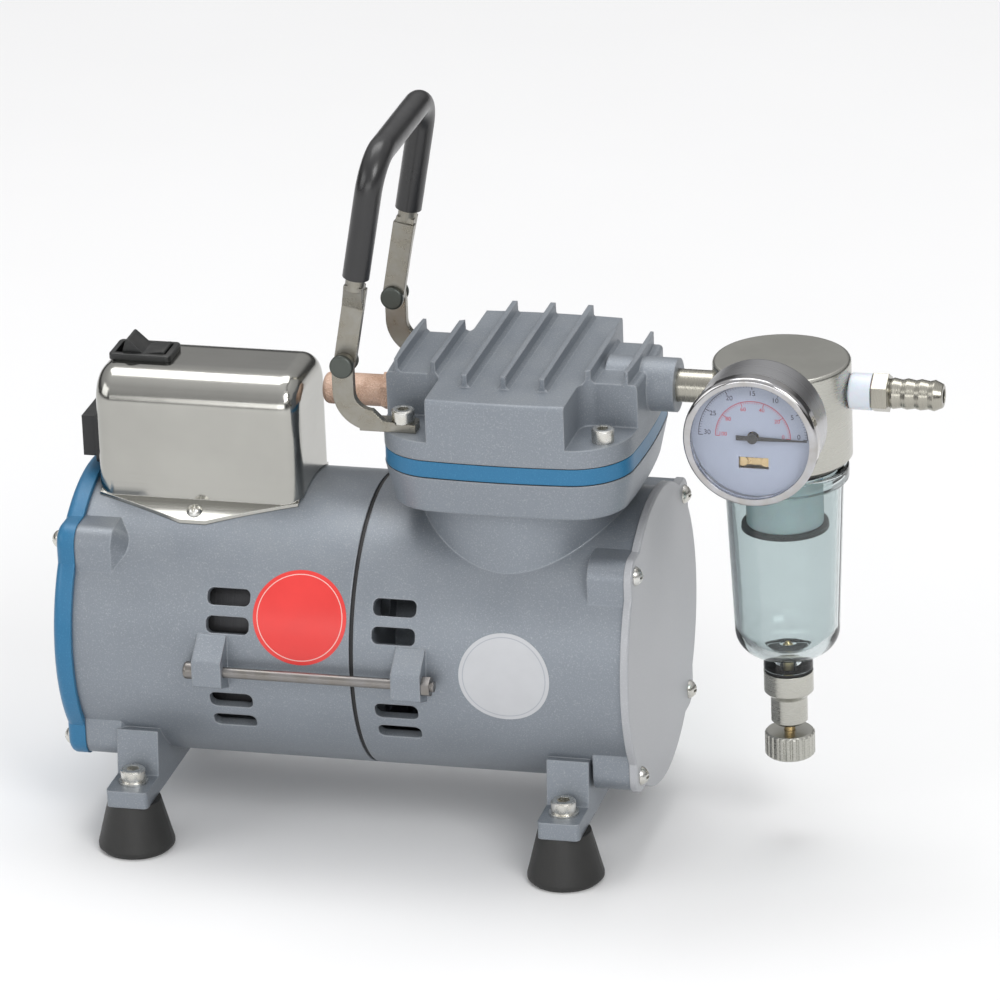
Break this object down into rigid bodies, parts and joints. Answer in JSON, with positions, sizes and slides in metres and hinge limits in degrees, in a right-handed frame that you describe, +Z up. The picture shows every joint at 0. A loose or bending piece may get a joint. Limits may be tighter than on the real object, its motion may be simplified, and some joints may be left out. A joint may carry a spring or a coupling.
{
  "type": "rocking piston vacuum pump",
  "caption": "Oil-free bench vacuum pump with a rocking piston, finned cylinder head, carry handle, vacuum gauge and liquid trap with a hose barb.",
  "frame": {"origin": "floor level, under the middle of the object's box", "axes": "+X along the motor shaft towards the hose barb, +Y towards the back, away from the gauge, +Z up"},
  "size_m": [0.3306, 0.1388, 0.2768],
  "materials": {
    "silver_paint": "silver-grey metallic paint, satin",
    "blue_paint": "mid blue paint, satin",
    "grey_cover": "light grey paint, satin",
    "polished_steel": "bright drawn stainless sheet",
    "zinc_steel": "zinc-plated steel",
    "nickel_steel": "nickel-plated steel strip",
    "satin_alloy": "machined and satin nickel plated",
    "chrome": "polished",
    "black_oxide": "blackened steel",
    "black_rubber": "moulded black rubber",
    "seal_rubber": "black nitrile rubber",
    "grip_black": "dipped black vinyl",
    "switch_black": "moulded black plastic",
    "white_plastic": "white acetal",
    "clear_bowl": "clear pale blue-green polycarbonate",
    "clear_lens": "clear window",
    "dial_white": "printed white dial",
    "needle_black": "black needle",
    "brass": "turned brass",
    "bronze": "sintered bronze",
    "cast_alloy": "as cast",
    "bearing_steel": "ground steel",
    "lamination": "stacked electrical steel",
    "copper": "enamelled copper wire",
    "fan_plastic": "moulded black plastic",
    "filter_white": "porous white plastic",
    "ptfe": "filled PTFE",
    "gasket": "black gasket"
  },
  "bodies": {
    "pump": {"motor_housing": "silver_paint", "crankcase": "silver_paint", "seam_gasket": "gasket", "rear_end_cover": "blue_paint", "front_end_cover": "grey_cover", "cover_screws": "zinc_steel", "tie_rods": "zinc_steel", "rubber_feet": "black_rubber", "foot_screws": "zinc_steel", "stator_core": "lamination", "stator_windings": "copper", "bearing_outer_races": "bearing_steel", "cylinder_sleeve": "satin_alloy", "head_gaskets": "gasket", "valve_plate": "blue_paint", "valve_reeds": "bearing_steel", "reed_screws": "zinc_steel", "cylinder_head": "silver_paint", "head_screws": "zinc_steel", "exhaust_silencer": "bronze", "handle_brackets": "nickel_steel", "handle_rivets": "black_oxide", "inlet_nipple": "satin_alloy", "trap_head": "satin_alloy", "filter_element": "filter_white", "filter_bolt": "brass", "trap_baffle": "switch_black", "barb_collar": "white_plastic", "hose_barb": "satin_alloy", "gauge_case": "satin_alloy", "gauge_bezel": "chrome", "gauge_lens": "clear_lens", "gauge_dial": "dial_white", "gauge_movement": "brass", "gauge_nipple": "brass", "switch_box": "polished_steel", "box_screws": "zinc_steel", "switch_bezel": "switch_black", "power_inlet": "switch_black", "run_capacitor": "white_plastic"},
    "shaft": {"motor_shaft": "bearing_steel", "rotor": "lamination", "counterweight": "cast_alloy", "cooling_fans": "fan_plastic", "bearing_inner_races": "bearing_steel"},
    "piston": {"connecting_rod": "cast_alloy", "cup_seal": "ptfe", "piston_clamp": "cast_alloy", "crank_bearing": "bearing_steel"},
    "switch_rocker": {"switch_rocker": "switch_black"},
    "carry_handle": {"handle_bail": "nickel_steel", "handle_grip": "grip_black"},
    "gauge_needle": {"gauge_needle": "needle_black"},
    "bowl_seal": {"bowl_o_ring": "seal_rubber"},
    "bowl": {"trap_bowl": "clear_bowl", "drain_body": "satin_alloy", "drain_seal": "seal_rubber"},
    "drain_stem": {"drain_stem": "brass"},
    "drain_knob": {"drain_knob": "satin_alloy"}
  },
  "joints": [
    {"name": "motor_spin", "type": "hinge", "parent": "pump", "child": "shaft", "pos_m": [0.00847, 0, 0.0768], "axis": [1, 0, 0], "continuous": true},
    {"name": "crank_pin", "type": "hinge", "parent": "shaft", "child": "piston", "pos_m": [0.00847, 0, 0.0808], "axis": [1, 0, 0], "continuous": true},
    {"name": "power_rocker", "type": "hinge", "parent": "pump", "child": "switch_rocker", "pos_m": [-0.13803, 0, 0.176], "axis": [0, 1, 0], "range_deg": [-34, 0]},
    {"name": "handle_fold", "type": "hinge", "parent": "pump", "child": "carry_handle", "pos_m": [-0.05033, 0, 0.1922], "axis": [0, 1, 0], "range_deg": [-94, 71]},
    {"name": "needle_swing", "type": "hinge", "parent": "pump", "child": "gauge_needle", "pos_m": [0.10527, -0.04975, 0.1785], "axis": [0, -1, 0], "range_deg": [0, 180]},
    {"name": "bowl_lower", "type": "slide", "parent": "pump", "child": "bowl_seal", "axis": [0, 0, -1], "range_m": [0, 0.0075]},
    {"name": "bowl_unscrew", "type": "hinge", "parent": "bowl_seal", "child": "bowl", "pos_m": [0.10527, 0, 0.1508], "axis": [0, 0, -1], "range_deg": [0, 900]},
    {"name": "drain_lower", "type": "slide", "parent": "bowl", "child": "drain_stem", "axis": [0, 0, -1], "range_m": [0, 0.002]},
    {"name": "drain_unscrew", "type": "hinge", "parent": "drain_stem", "child": "drain_knob", "pos_m": [0.10527, 0, 0.0414], "axis": [0, 0, -1], "range_deg": [0, 720]}
  ],
  "couplings": [
    {"joint": "crank_pin", "follows": "motor_spin", "ratio": -1},
    {"joint": "bowl_unscrew", "follows": "bowl_lower", "rad_per_m": 2094.4},
    {"joint": "drain_unscrew", "follows": "drain_lower", "rad_per_m": 6283.2}
  ]
}
